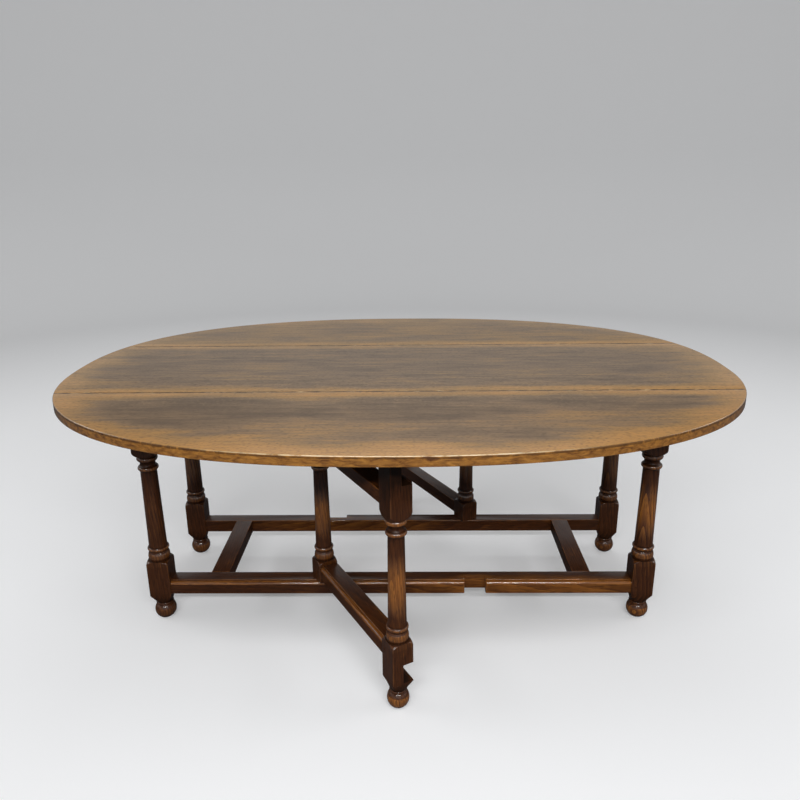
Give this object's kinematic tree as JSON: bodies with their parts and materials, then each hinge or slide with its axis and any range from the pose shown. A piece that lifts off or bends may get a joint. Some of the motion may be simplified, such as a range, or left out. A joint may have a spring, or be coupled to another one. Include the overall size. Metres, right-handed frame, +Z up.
{
  "type": "gateleg_table",
  "caption": "Large oval oak drop-leaf wake table with turned legs, rule-jointed leaves and swinging gates that carry them",
  "frame": {"origin": "on the floor under the middle of the top", "axes": "+X along the table, +Y towards the rear, +Z up; the front gate swings out towards -Y"},
  "size_m": [1.99, 1.47, 0.76],
  "materials": {
    "top_oak": "satin",
    "frame_oak": "satin",
    "plain_oak": "matte",
    "hinge_iron": "matte"
  },
  "bodies": {
    "frame": {"top_centre_panel": "top_oak", "top_glue_blocks": "plain_oak", "front_left_leg": "frame_oak", "front_right_leg": "frame_oak", "rear_left_leg": "frame_oak", "rear_right_leg": "frame_oak", "front_apron": "frame_oak", "rear_apron": "frame_oak", "left_apron": "frame_oak", "right_apron": "frame_oak", "front_stretcher": "frame_oak", "rear_stretcher": "frame_oak", "left_cross_stretcher": "frame_oak", "right_cross_stretcher": "frame_oak", "frame_pegs": "frame_oak", "front_hinge_panel_flaps": "hinge_iron", "front_hinge_pins": "hinge_iron", "rear_hinge_panel_flaps": "hinge_iron", "rear_hinge_pins": "hinge_iron"},
    "front_leaf_body": {"front_leaf": "top_oak", "front_hinge_leaf_flaps": "hinge_iron", "front_leaf_stop": "plain_oak"},
    "rear_leaf_body": {"rear_leaf": "top_oak", "rear_hinge_leaf_flaps": "hinge_iron", "rear_leaf_stop": "plain_oak"},
    "front_gate": {"front_pivot_post": "frame_oak", "front_gate_leg": "frame_oak", "front_gate_lower_rail": "frame_oak", "front_gate_upper_rail": "frame_oak", "front_gate_pegs": "frame_oak"},
    "rear_gate": {"rear_pivot_post": "frame_oak", "rear_gate_leg": "frame_oak", "rear_gate_lower_rail": "frame_oak", "rear_gate_upper_rail": "frame_oak", "rear_gate_pegs": "frame_oak"}
  },
  "joints": [
    {"name": "front_gate_swing", "type": "hinge", "parent": "frame", "child": "front_gate", "pos_m": [-0.232, -0.2, 0.392], "axis": [0, 0, 1], "range_deg": [0, 60]},
    {"name": "rear_gate_swing", "type": "hinge", "parent": "frame", "child": "rear_gate", "pos_m": [0.232, 0.2, 0.392], "axis": [0, 0, 1], "range_deg": [0, 60]},
    {"name": "front_leaf_lift", "type": "hinge", "parent": "frame", "child": "front_leaf_body", "pos_m": [0, -0.27, 0.7375], "axis": [-1, 0, 0], "range_deg": [0, 2]},
    {"name": "rear_leaf_lift", "type": "hinge", "parent": "frame", "child": "rear_leaf_body", "pos_m": [0, 0.27, 0.7375], "axis": [1, 0, 0], "range_deg": [0, 2]}
  ]
}
